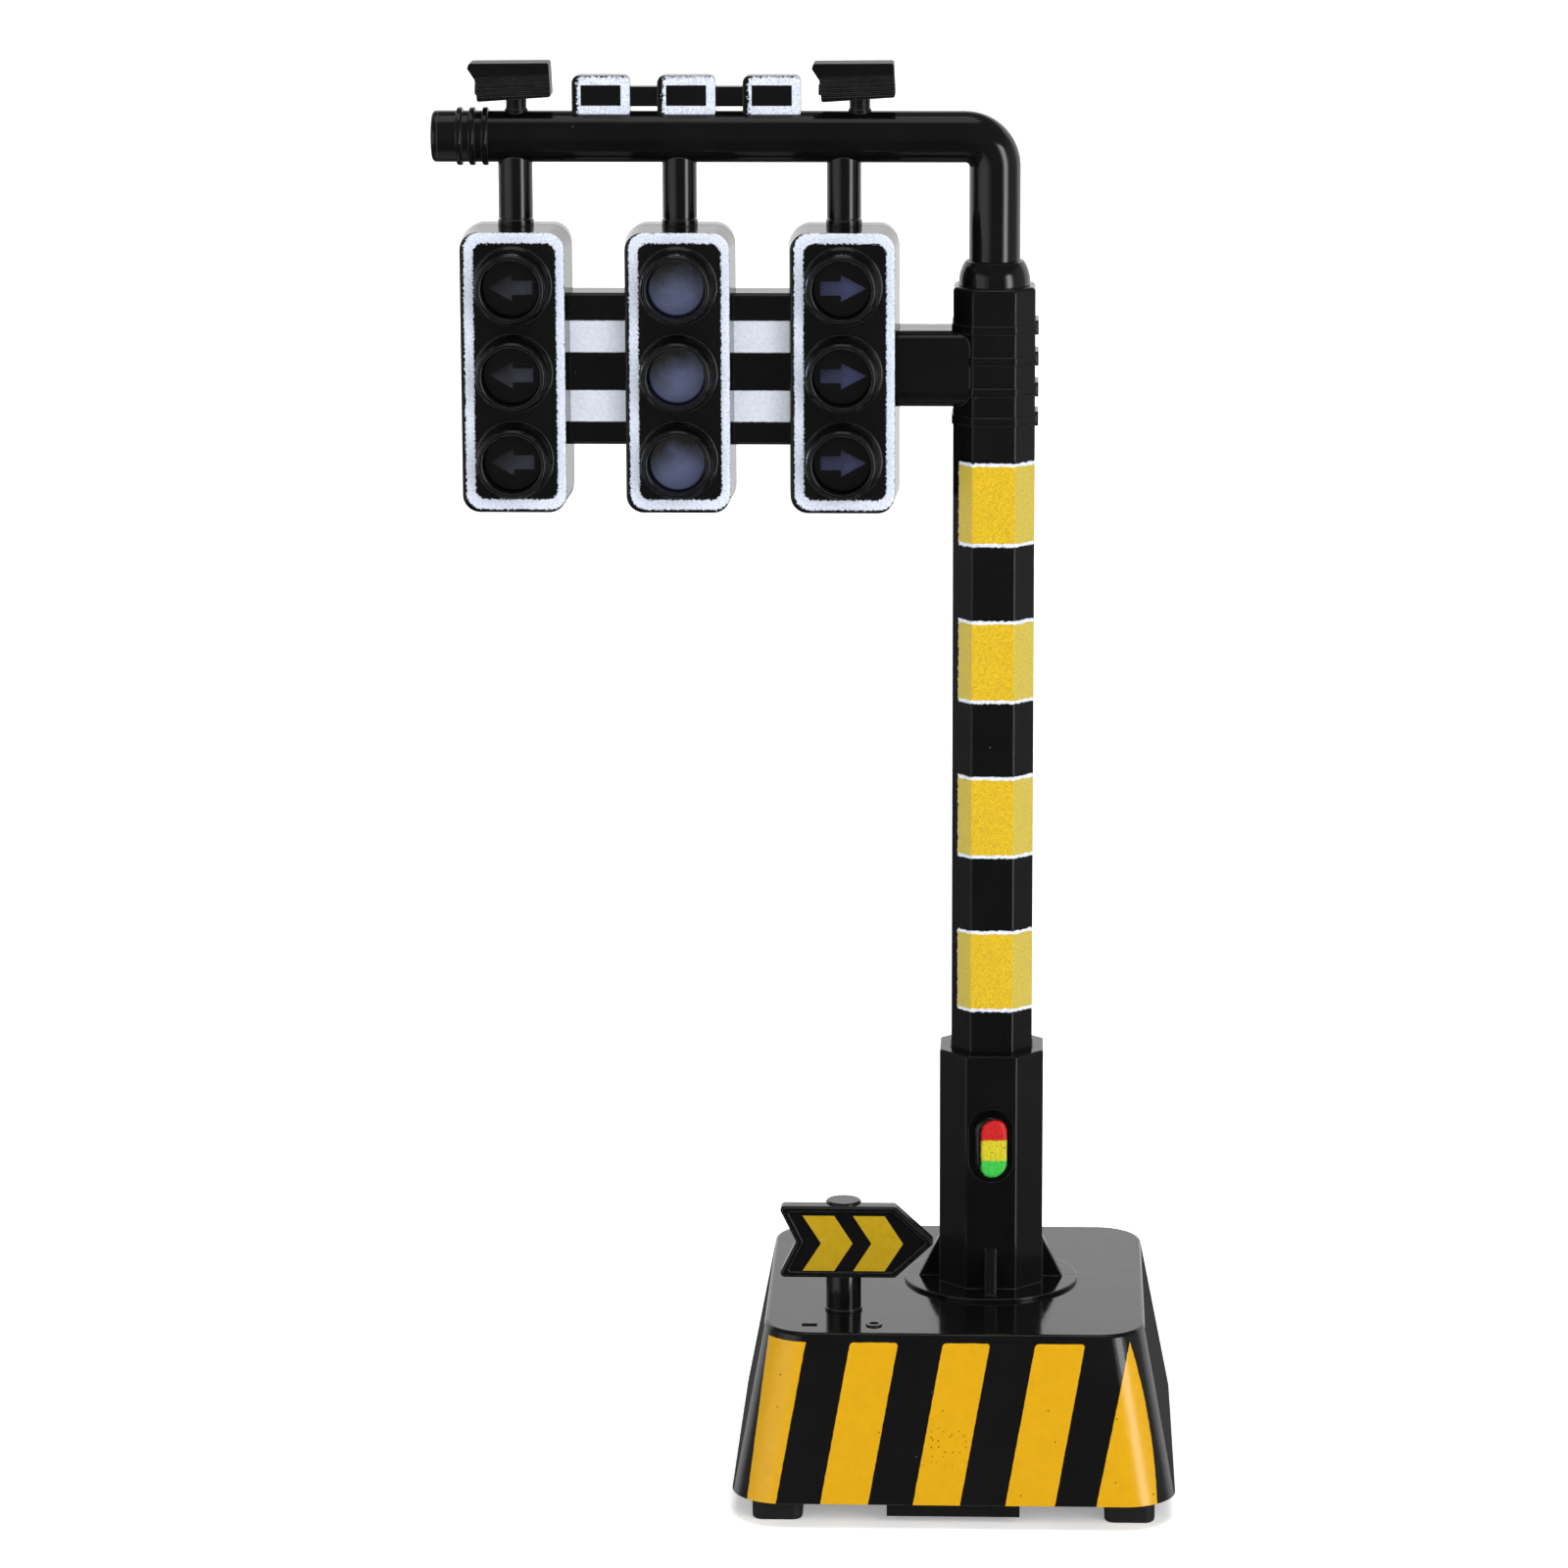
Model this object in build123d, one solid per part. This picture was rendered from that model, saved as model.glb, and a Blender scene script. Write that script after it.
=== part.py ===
from build123d import *
import os

# Toy traffic signal mast: a striped battery base, an eight-sided mast with a push button, and an
# overhead tube that carries three signal heads, two cameras and a strip of flash units.
# Millimetres, +Z up, front towards -Y.  The origin is on the floor, under the middle of the whole
# toy.  Places below are counted from the middle of the battery box's underside, which the feet
# hold clear of the floor by FOOT_REACH; save() moves every node into the toy's own frame.

os.makedirs("parts", exist_ok=True)

# ---------------------------------------------------------------- driving dimensions
# base
SKIRT_Z = 3.0               # lower edge of the tapered shell
TOP_Z = 34.0                # top face of the base
BASE_HALF = 41.0            # half width at the lower edge
TOP_HALF = 35.1             # half width at the top face
CORNER_LOW, CORNER_TOP = 9.5, 8.6     # plan radius of the base's corners
BASE_WALL = 1.9
TOP_WALL = 2.0
PLATE_Z0, PLATE_Z1 = 3.6, 5.4
FOOT_AT, FOOT_SIZE, FOOT_CORNER, FOOT_REACH = 32.5, 9.3, 2.0, 1.5
TOY_MIDDLE_X = -27.55       # middle between the tube's far end and the base's right side
BOSS_X, BOSS_Y = 30.0, 11.0
SPEAKER_AT = Pos(21, 24.5, 0)

# battery box under the base plate
BOX_HALF = 12.25
BOX_Y0, BOX_Y1 = -38.5, 15.6
BOX_TOP = 13.7
FLOOR_T = 1.3
CELL_R, CELL_X, CELL_Z = 5.2, 5.35, 6.7
CELL_Y0, CELL_Y1 = -32.2, 11.3
DOOR_HALF = 9.4
DOOR_Y0, DOOR_Y1 = -38.0, -4.1
DOOR_SCREW_Y = -36.3

# turning arrow sign, which is the power switch
POST_X, POST_Y = -20.7, -19.6
POST_R = 3.27
SHAFT_R = 2.2
SIGN_Y0, SIGN_Y1 = -23.2, -20.2
SIGN_TOP, SIGN_LOW = 54.7, 41.0
SIGN_MID = (SIGN_TOP + SIGN_LOW) / 2
SIGN_TAIL, SIGN_NOTCH, SIGN_END, SIGN_TIP = -12.1, -8.7, 9.6, 17.0
CHEVRON_X = (-7.5, 1.85)      # upper left corners of the two stripes, from the post
POST_TOP = 55.1

# mast: every mast part is drawn about the mast's own axis, then moved there
MAST_AT = Pos(6.5, 1.0, 0)
EDGE_R = 0.35                # softened edges of the mast and its housing
HOUSING_HALF, HOUSING_FLAT = 9.65, 4.7
HOUSING_TOP = 79.7
FLANGE_R, FLANGE_T = 16.3, 0.6
MAST_HALF, MAST_FLAT = 7.5, 3.9
MAST_Z0, MAST_Z1 = 72.0, 223.1
BUTTON_Z = 62.5
BUTTON_W, BUTTON_H = 6.0, 11.8
DISH_W, DISH_H, DISH_Y = 8.2, 14.0, -8.3
ARM_HALF, ARM_Z0, ARM_Z1, ARM_R = 7.0, 201.2, 215.2, 3.0
STRAP_LEVELS = (215.6, 209.9, 204.2, 198.8)
MAST_SCREW_X = 1.8
MAST_SCREW_LEVELS = (90, 130, 170, 212)

# overhead tube
TUBE_Z, TUBE_R, TUBE_BORE = 250.1, 4.7, 3.5
TUBE_END = -101.4
ELBOW_R = 5.4
RING_PLACES = (-97.5, -95.2, -92.8)

# signal heads
HEAD_X = {"left": -87.5, "middle": -57.5, "right": -27.5}
HEAD_Z = 208.1
HEAD_FRONT, HEAD_BACK = -11.0, 7.2
LENS_PITCH = 16.0
LENS_LEVELS = (LENS_PITCH, 0, -LENS_PITCH)
VISOR_BORE = 5.3
VISOR_FRONT = -16.2
HANGER_R = 3.15
HEAD_SCREWS = ((6.6, 22.0), (-6.6, -22.0))

# boards between the heads, flash strip and cameras
BOARD_Z0, BOARD_Z1 = 193.9, 221.9
BOARD_FRONT, BOARD_BACK = -4.0, 3.5
FLASH_X = (-71.65, -56.1, -40.55)
FLASH_W, FLASH_Y0, FLASH_Y1, FLASH_Z0, FLASH_Z1 = 10.6, -2.1, 1.7, 253.6, 261.3
CAMERA_X = {"left": -87.2, "right": -24.6}
GROOVE_TOP, GROOVE_PITCH = 261.0, 0.78

# wires: they rise beside the mast's screws, then move to the tube's axis
WIRE_X, WIRE_Y = -1.3, 3.4
WIRE_LOW, WIRE_TURN, WIRE_CENTRED = 46.0, 215.0, 222.5
BUNDLE_R, DROP_R = 0.9, 0.6


# ---------------------------------------------------------------- helpers
def block(x0, x1, y0, y1, z0, z1):
    """Box between two corners."""
    middle = Pos((x0 + x1) / 2, (y0 + y1) / 2, (z0 + z1) / 2)
    return middle * Box(x1 - x0, y1 - y0, z1 - z0)


def rod(radius, z0, z1, x=0, y=0):
    """Upright cylinder."""
    return Pos(x, y, (z0 + z1) / 2) * Cylinder(radius, z1 - z0)


def rod_y(radius, y0, y1, x=0, z=0):
    """Cylinder along Y."""
    return Pos(x, (y0 + y1) / 2, z) * Rot(90, 0, 0) * Cylinder(radius, y1 - y0)


def facing(x, y, z):
    """Upright drawing plane at depth y, seen from the front."""
    return Plane(origin=(x, y, z), x_dir=(1, 0, 0), z_dir=(0, -1, 0))


def cut_out(points, y0, y1, rounding=0.0):
    """Outline drawn in X and Z, made solid from depth y1 forward to y0."""
    face = make_face(Polyline(*points, close=True))
    if rounding:
        face = fillet(face.vertices(), rounding)
    return extrude(facing(0, y1, 0) * face, amount=y1 - y0)


def pill(width, height, y0, y1, z):
    """Upright rounded slot shape."""
    return extrude(facing(0, y1, z) * SlotOverall(height, width, rotation=90), amount=y1 - y0)


def turned_y(points):
    """Ring turned about the Y axis from points of (radius, depth)."""
    return revolve(make_face(Polyline(*points, close=True)), Axis.Y)


def octagon(half, flat, z0, z1):
    """Square bar with cut corners and softened edges."""
    quarter = [(flat, -half), (half, -flat), (half, flat), (flat, half)]
    points = quarter + [(-x, -y) for x, y in quarter]
    face = make_face(Polyline(*points, close=True))
    return extrude(Pos(0, 0, z0) * fillet(face.vertices(), EDGE_R), amount=z1 - z0)


def round_top(shape, radius):
    return fillet(shape.faces().sort_by(Axis.Z)[-1].edges(), radius)


def tapered(half0, radius0, z0, half1, radius1, z1):
    """Square box that narrows upwards."""
    lower = Pos(0, 0, z0) * RectangleRounded(2 * half0, 2 * half0, radius0)
    upper = Pos(0, 0, z1) * RectangleRounded(2 * half1, 2 * half1, radius1)
    return loft([lower, upper])


def front_half(shape):
    return shape & block(-60, 60, -60, 0, 0, 300)


def rear_half(shape):
    return shape & block(-60, 60, 0, 60, 0, 300)


def save(name, *shapes):
    """Write one node in the toy's frame, as one solid or as a group of solids."""
    solids = []
    for shape in shapes:
        solids += list((Pos(-TOY_MIDDLE_X, 0, FOOT_REACH) * shape).solids())
    export_step(Compound(solids) if len(solids) > 1 else solids[0], f"parts/{name}.step")


# ---------------------------------------------------------------- base
def make_base_shell():
    shell = tapered(BASE_HALF, CORNER_LOW, SKIRT_Z, TOP_HALF, CORNER_TOP, TOP_Z)
    shell = fillet(shell.faces().sort_by(Axis.Z)[-1].edges(), 0.8)
    slope = (BASE_HALF - TOP_HALF) / (TOP_Z - SKIRT_Z)
    low_half = BASE_HALF - BASE_WALL + slope
    high_half = TOP_HALF - BASE_WALL + slope * TOP_WALL
    low_r, high_r = CORNER_LOW - BASE_WALL, CORNER_TOP - BASE_WALL
    shell -= tapered(low_half, low_r, SKIRT_Z - 1, high_half, high_r, TOP_Z - TOP_WALL)
    for x in (-BOSS_X, BOSS_X):
        for y in (-BOSS_Y, BOSS_Y):
            shell += rod(3.0, PLATE_Z1, TOP_Z - 1, x, y)
            shell -= rod(0.95, PLATE_Z1, 22, x, y)
    shell -= rod(SHAFT_R + 0.06, TOP_Z - 4, TOP_Z + 1, POST_X, POST_Y)
    shell -= MAST_AT * rod(2.6, TOP_Z - 4, TOP_Z + 1)
    for y in (-6.0, 6.0):
        shell -= MAST_AT * rod(1.1, TOP_Z - 4, TOP_Z + 1, 0, y)
    # raised switch marks: a bar for on, a ring for off
    mark_y = POST_Y - 10
    shell += block(POST_X - 7.4, POST_X - 4.6, mark_y - 0.4, mark_y + 0.4, TOP_Z - 0.2, TOP_Z + 0.3)
    ring = rod(1.5, TOP_Z - 0.2, TOP_Z + 0.3) - rod(0.9, TOP_Z - 1, TOP_Z + 1)
    shell += Pos(POST_X + 5.9, mark_y, 0) * ring
    return shell


def make_base_plate():
    plate = Pos(0, 0, PLATE_Z0) * RectangleRounded(77, 77, 7.2)
    plate = extrude(plate, amount=PLATE_Z1 - PLATE_Z0)
    plate += block(-BOX_HALF, BOX_HALF, BOX_Y0, BOX_Y1, 0, PLATE_Z1)
    plate += block(-BOX_HALF, BOX_HALF, BOX_Y0 + 1.8, BOX_Y1, 0, BOX_TOP)
    plate -= block(-10.8, 10.8, BOX_Y0 + 4, BOX_Y1 - 1.5, FLOOR_T, BOX_TOP - 1.5)
    plate -= block(-DOOR_HALF - 0.1, DOOR_HALF + 0.1, DOOR_Y0 - 0.1, DOOR_Y1 + 0.1, -1, FLOOR_T)
    plate -= rod(1.5, 0, 5, 0, DOOR_SCREW_Y)
    for x in (-BOSS_X, BOSS_X):
        for y in (-BOSS_Y, BOSS_Y):
            plate -= rod(1.1, 0, 8, x, y)
            plate -= rod(2.7, 0, PLATE_Z0 + 0.8, x, y)
    plate -= SPEAKER_AT * rod(1.0, 0, 8)
    for place in PolarLocations(5.5, 8):
        plate -= SPEAKER_AT * place * rod(1.0, 0, 8)
    for x in (-26, -6):
        plate += rod(2.0, PLATE_Z1 - 0.5, 10, x, 25.5)
    return plate


def make_door():
    door = block(-DOOR_HALF, DOOR_HALF, DOOR_Y0, DOOR_Y1, 0.1, FLOOR_T - 0.05)
    tongue = block(-1.2, 1.2, DOOR_Y1 - 2, DOOR_Y1 + 1.5, FLOOR_T + 0.05, FLOOR_T + 0.85)
    neck = block(-1.2, 1.2, DOOR_Y1 - 2, DOOR_Y1 - 0.3, 1.0, FLOOR_T + 0.5)
    door += neck + tongue
    door -= rod(1.05, 0, 3, 0, DOOR_SCREW_Y)
    door -= rod(1.6, 0, 0.7, 0, DOOR_SCREW_Y)
    for step in range(5):
        y = -28 + 2.4 * step
        door -= block(-4, 4, y, y + 0.9, 0, 0.4)
    return door


def make_screw(head_r, head_t, shank_r, length):
    """Pan head below, shank pointing up, head underside at z = 0."""
    head = rod(head_r, -head_t, 0)
    head = fillet(head.edges().sort_by(Axis.Z)[0], head_t * 0.4)
    screw = head + rod(shank_r, -0.1, length)
    screw -= block(-head_r * 0.6, head_r * 0.6, -0.2, 0.2, -head_t - 1, -head_t * 0.55)
    screw -= block(-0.2, 0.2, -head_r * 0.6, head_r * 0.6, -head_t - 1, -head_t * 0.55)
    return screw


def make_base():
    save("base_shell", make_base_shell())
    save("base_plate", make_base_plate())
    corners = [(x, y) for x in (-FOOT_AT, FOOT_AT) for y in (-FOOT_AT, FOOT_AT)]
    foot = Pos(0, 0, -FOOT_REACH) * RectangleRounded(FOOT_SIZE, FOOT_SIZE, FOOT_CORNER)
    foot = extrude(foot, amount=PLATE_Z0 + FOOT_REACH)
    foot = fillet(foot.faces().sort_by(Axis.Z)[0].edges(), 0.6)
    save("feet", *[Pos(x, y, 0) * foot for x, y in corners])
    screw = Pos(0, 0, PLATE_Z0 + 0.8) * make_screw(2.4, 1.2, 0.9, 12)
    save("base_screws", *[Pos(x, y, 0) * screw for x in (-BOSS_X, BOSS_X) for y in (-BOSS_Y, BOSS_Y)])
    save("battery_door", make_door())
    save("door_screw", Pos(0, DOOR_SCREW_Y, 0.7) * make_screw(1.5, 0.55, 1.0, 2.6))

    cell = rod_y(CELL_R, CELL_Y0, CELL_Y1, CELL_X, CELL_Z)
    cell += rod_y(1.9, CELL_Y1 - 0.1, CELL_Y1 + 0.8, CELL_X, CELL_Z)
    middle_y = (CELL_Y0 + CELL_Y1) / 2
    turned_cell = Pos(0, middle_y, 0) * Rot(0, 0, 180) * Pos(0, -middle_y, 0) * cell
    save("batteries", cell, turned_cell)
    contacts = []
    for side in (-1, 1):
        spring_end, nub_end = (CELL_Y0, CELL_Y1 + 0.8) if side > 0 else (CELL_Y0 - 0.8, CELL_Y1)
        x = side * CELL_X
        front = block(x - 4, x + 4, -34.45, -34.05, 2.5, 11)
        front += rod_y(2.2, -34.1, spring_end, x, CELL_Z)
        rear = block(x - 4, x + 4, 13.65, 14.05, 2.5, 11)
        rear += rod_y(2.2, nub_end, 13.7, x, CELL_Z)
        contacts += [front, rear]
    save("battery_contacts", *contacts)

    frame = rod(11.3, PLATE_Z1, 8.4) - rod(10.3, PLATE_Z1 - 1, 7.2) + rod(6.5, 8.3, 11.5)
    save("speaker_frame", SPEAKER_AT * frame)
    save("speaker_cone", SPEAKER_AT * rod(10.2, 5.8, 6.4))
    save("control_board", block(-29, -3, 17, 34, 10, 11.6))
    chips = [block(-24, -16, 22, 30, 11.6, 13.2), block(-12, -7, 28, 32, 11.6, 13.8)]
    save("board_chips", *chips, rod(2.5, 11.6, 18, -9, 22))


# ---------------------------------------------------------------- arrow sign
def sign_outline(inset=0.0):
    """Arrow outline; the inset follows the sloping sides by about the same distance."""
    tail, notch = SIGN_TAIL + 1.7 * inset, SIGN_NOTCH + 1.2 * inset
    end, tip = SIGN_END - 0.4 * inset, SIGN_TIP - 1.4 * inset
    top, low = SIGN_TOP - inset, SIGN_LOW + inset
    points = [(tail, top), (end, top), (tip, SIGN_MID), (end, low), (tail, low), (notch, SIGN_MID)]
    return [(POST_X + x, z) for x, z in points]


def chevron(x):
    """Arrow-head stripe whose upper left corner is at x."""
    width, lean, half = 5.85, 3.4, 5.3
    z = SIGN_MID - 0.3
    points = [(x, z + half), (x + width, z + half), (x + width + lean, z), (x + width, z - half)]
    points += [(x, z - half), (x + lean, z)]
    return cut_out([(POST_X + px, pz) for px, pz in points], SIGN_Y0 + 0.3, SIGN_Y0 + 0.5)


def make_sign():
    plate = cut_out(sign_outline(), SIGN_Y0, SIGN_Y1, rounding=0.8)
    front_edges = plate.faces().sort_by(Axis.Y)[0].edges()
    plate = chamfer(front_edges, 0.35)
    plate -= cut_out(sign_outline(1.0), SIGN_Y0 - 1, SIGN_Y0 + 0.5, rounding=0.5)
    save("sign_plate", plate)
    save("sign_chevrons", chevron(CHEVRON_X[0]), chevron(CHEVRON_X[1]))
    post = rod(POST_R, TOP_Z + 0.05, POST_TOP, POST_X, POST_Y)
    post = fillet(post.edges().sort_by(Axis.Z)[-1], 0.4)
    post += rod(POST_R + 0.2, TOP_Z + 0.05, TOP_Z + 0.5, POST_X, POST_Y)
    post -= block(POST_X - 13, POST_X + 18, SIGN_Y0, SIGN_Y1, SIGN_LOW, SIGN_TOP)
    shaft = rod(SHAFT_R, 22, TOP_Z + 1, POST_X, POST_Y)
    save("sign_post", post + shaft)
    clip = rod(3.6, 22.4, 23.4, POST_X, POST_Y) - rod(SHAFT_R, 22, 24, POST_X, POST_Y)
    save("post_clip", clip)
    switch = block(POST_X - 6.5, POST_X + 6.5, POST_Y - 6.5, POST_Y + 6.5, 23.5, TOP_Z - TOP_WALL)
    save("rotary_switch", switch - rod(SHAFT_R + 0.08, 20, 40, POST_X, POST_Y))


# ---------------------------------------------------------------- lower housing and button
def make_housing():
    body = round_top(octagon(HOUSING_HALF, HOUSING_FLAT, TOP_Z, HOUSING_TOP), EDGE_R)
    body += rod(FLANGE_R, TOP_Z, TOP_Z + FLANGE_T)
    gusset = cut_out([(9.3, 43.2), (9.3, TOP_Z + 0.5), (13.6, TOP_Z + 0.5)], -1.0, 1.0)
    for turn in (0, 90, 180, 270):
        body += Rot(0, 0, turn) * gusset
    body -= octagon(HOUSING_HALF - 1.6, HOUSING_FLAT - 0.8, TOP_Z - 1, 71)
    body -= octagon(MAST_HALF + 0.05, MAST_FLAT + 0.03, 70, HOUSING_TOP + 1)
    # thicker wall behind the button, an oval dish and the button's slot
    body += block(-4.6, 4.6, -9.0, -6.2, 54.0, 71.0)
    dish = pill(DISH_W, DISH_H, -12, DISH_Y, BUTTON_Z)
    slot = pill(BUTTON_W + 0.12, BUTTON_H + 0.12, -12, -5, BUTTON_Z)
    body -= dish + slot
    for y in (-6.0, 6.0):
        body += rod(2.2, TOP_Z, 44, 0, y)
        body -= rod(0.9, TOP_Z - 1, 43, 0, y)
    front = front_half(body)
    rear = rear_half(body)
    for x in (-3.6, 3.6):
        for z in (56.5, 68.5):
            rear += rod_y(1.2, 0.5, 8.3, x, z)
    save("housing_front", MAST_AT * front)
    save("housing_rear", MAST_AT * rear)
    screw = Pos(0, 0, TOP_Z - TOP_WALL) * make_screw(2.0, 1.2, 0.85, 9.5)
    save("flange_screws", MAST_AT * Pos(0, -6, 0) * screw, MAST_AT * Pos(0, 6, 0) * screw)


def make_button():
    button = pill(BUTTON_W, BUTTON_H, -11.4, -6.05, BUTTON_Z)
    button = fillet(button.faces().sort_by(Axis.Y)[0].edges(), 0.9)
    button += pill(BUTTON_W + 1.0, BUTTON_H + 1.0, -6.1, -5.3, BUTTON_Z)
    save("push_button", MAST_AT * button)
    save("switch_plunger", MAST_AT * rod_y(1.0, -5.3, -2.9, 0, BUTTON_Z))
    switch = block(-3, 3, -3.2, -0.7, BUTTON_Z - 3, BUTTON_Z + 3)
    save("tact_switch", MAST_AT * (switch - rod_y(1.07, -4, -1.3, 0, BUTTON_Z)))
    save("button_board", MAST_AT * block(-5, 5, -0.7, 0.5, 54.5, 70.5))


# ---------------------------------------------------------------- signal heads
def head_plane(y, width, height, radius):
    return facing(0, y, HEAD_Z) * RectangleRounded(width, height, radius)


def make_head_outer():
    """Front and rear shells of a head, both as full solids about x = 0."""
    front = loft([head_plane(0, 20.3, 51.6, 3.7), head_plane(HEAD_FRONT, 19.0, 51.4, 3.2)])
    front = fillet(front.faces().sort_by(Axis.Y)[0].edges(), 0.45)
    rear = loft([head_plane(0, 20.3, 51.6, 3.7), head_plane(HEAD_BACK, 19.5, 51.2, 3.5)])
    rear = fillet(rear.faces().sort_by(Axis.Y)[-1].edges(), 1.4)
    return front, rear


def make_visor():
    """Round hood about a lens, with a small foot ring, turned about Y."""
    lip, foot, wall = 0.35, 0.5, 6.35
    return turned_y([
        (VISOR_BORE, HEAD_FRONT + 0.4), (7.2, HEAD_FRONT + 0.4), (7.2, HEAD_FRONT),
        (6.75, HEAD_FRONT - foot), (wall, VISOR_FRONT + lip), (wall - lip, VISOR_FRONT),
        (VISOR_BORE + 0.2, VISOR_FRONT), (VISOR_BORE, VISOR_FRONT + 0.3)])


def make_lens():
    """Cup-shaped diffuser with a flange behind the front wall."""
    return turned_y([
        (0, -12.8), (4.9, -12.8), (5.2, -12.5), (5.2, -9.6), (6.1, -9.6), (6.1, -8.8),
        (4.3, -8.8), (4.3, -11.9), (0, -11.9)])


def make_led():
    """Round-nosed lamp standing on its board."""
    return rod_y(2.5, -9.0, -6.4) + Pos(0, -9.0, 0) * Sphere(2.5) - block(-3, 3, -6.4, -2, -3, 3)


def make_arrow_mask(direction):
    """Dark disc with an arrow-shaped window; direction -1 points left and 1 points right."""
    tip, neck, tail, head, shaft = 4.5, -0.2, -3.9, 2.5, 1.35
    points = [(tip, 0), (neck, head), (neck, shaft), (tail, shaft), (tail, -shaft)]
    points += [(neck, -shaft), (neck, -head)]
    window = cut_out([(direction * x, z) for x, z in points], -14, -12)
    return rod_y(5.15, -13.2, -12.8) - window


def make_heads():
    front_outer, rear_outer = make_head_outer()
    front = front_outer
    front -= loft([head_plane(0, 17.5, 48.8, 2.6), head_plane(-9.6, 16.6, 48.8, 2.2)])
    rear = rear_outer
    rear -= loft([head_plane(0, 17.5, 48.8, 2.6), head_plane(5.8, 16.8, 48.4, 2.4)])
    visor, lens, led = make_visor(), make_lens(), make_led()
    for level in LENS_LEVELS:
        front += Pos(0, 0, HEAD_Z + level) * visor
        front -= rod_y(VISOR_BORE, -12, -9, 0, HEAD_Z + level)
    for x, level in HEAD_SCREWS:
        z = HEAD_Z + level
        front += rod_y(1.7, -9.8, -0.1, x, z)
        front -= rod_y(0.75, -8.5, 0, x, z)
        rear += rod_y(1.9, 0.1, 6.0, x, z)
        rear -= rod_y(1.0, 0, 9, x, z)
        rear -= rod_y(1.8, 6.2, 9, x, z)
    for level in (-8, 8):
        rear += rod_y(1.4, -5.2, 6.0, 0, HEAD_Z + level)
    stub_hole = rod(2.65, HEAD_Z + 20, HEAD_Z + 30)
    front -= stub_hole
    rear -= stub_hole
    screw = Rot(90, 0, 0) * make_screw(1.7, 0.85, 0.7, 13)
    screws = []
    for side, x in HEAD_X.items():
        at = MAST_AT * Pos(x, 0, 0)
        save(f"head_front_{side}", at * front)
        save(f"head_rear_{side}", at * rear)
        levels = [at * Pos(0, 0, HEAD_Z + level) for level in LENS_LEVELS]
        save(f"lenses_{side}", *[place * lens for place in levels])
        save(f"leds_{side}", *[place * led for place in levels])
        save(f"led_board_{side}", at * block(-7.5, 7.5, -6.4, -5.2, HEAD_Z - 19.2, HEAD_Z + 19.2))
        screws += [at * Pos(sx, 6.2, HEAD_Z + sz) * screw for sx, sz in HEAD_SCREWS]
    save("head_screws", *screws)
    for side, direction in (("left", -1), ("right", 1)):
        mask = make_arrow_mask(direction)
        at = MAST_AT * Pos(HEAD_X[side], 0, 0)
        save(f"arrow_masks_{side}", *[at * Pos(0, 0, HEAD_Z + level) * mask for level in LENS_LEVELS])
    return front_outer + rear_outer


# ---------------------------------------------------------------- upper mast, tube and fittings
def make_arm(inset, x0, x1):
    """Side arm with rounded edges, running in X."""
    section = RectangleRounded(2 * (ARM_HALF - inset), ARM_Z1 - ARM_Z0 - 2 * inset, ARM_R - inset)
    centre = (x0, 0, (ARM_Z0 + ARM_Z1) / 2)
    side_plane = Plane(origin=centre, x_dir=(0, 1, 0), z_dir=(1, 0, 0))
    return extrude(side_plane * section, amount=x1 - x0)


def make_mast(right_head):
    bar = round_top(octagon(MAST_HALF, MAST_FLAT, MAST_Z0, MAST_Z1), 0.8)
    arm = make_arm(0, -20, 0) - right_head
    body = bar + arm
    body -= octagon(MAST_HALF - 1.4, MAST_FLAT - 0.7, MAST_Z0 - 1, MAST_Z1 - 1.4)
    body -= make_arm(1.4, -15.8, 0)
    body -= rod(2.4, MAST_Z1 - 3, MAST_Z1 + 1)
    front, rear = front_half(body), rear_half(body)
    screw = Rot(90, 0, 0) * make_screw(1.5, 0.8, 0.6, 9)
    screws = []
    for z in MAST_SCREW_LEVELS:
        front += rod_y(1.6, -6.3, -0.1, MAST_SCREW_X, z)
        front -= rod_y(0.65, -5, 0, MAST_SCREW_X, z)
        rear += rod_y(1.8, 0.1, 6.4, MAST_SCREW_X, z)
        rear -= rod_y(0.9, 0, 9, MAST_SCREW_X, z)
        rear -= rod_y(1.6, 6.3, 9, MAST_SCREW_X, z)
        screws.append(MAST_AT * Pos(MAST_SCREW_X, 6.3, z) * screw)
    save("mast_front", MAST_AT * front)
    save("mast_rear", MAST_AT * rear)
    save("mast_screws", *screws)

    proud, half_height = 0.25, 0.8
    straps = []
    for z in STRAP_LEVELS:
        strap = octagon(MAST_HALF + proud, MAST_FLAT + proud * 0.4, z - half_height, z + half_height)
        strap += block(MAST_HALF - 1, MAST_HALF + 0.6, -3.2, 3.2, z - 1.3, z + 1.3)
        strap -= bar + make_arm(0, -20, 0)
        straps.append(MAST_AT * strap)
    save("mast_straps", *straps)

    dome = Polyline((TUBE_R + 0.05, 227.7), (TUBE_R + 0.05, MAST_Z1), (6.55, MAST_Z1))
    dome += ThreePointArc((6.55, MAST_Z1), (6.25, 225.6), (5.35, 227.5))
    dome += Line((5.35, 227.5), (TUBE_R + 0.05, 227.7))
    save("mast_cap", MAST_AT * revolve(Plane.XZ * make_face(dome), Axis.Z))


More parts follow.
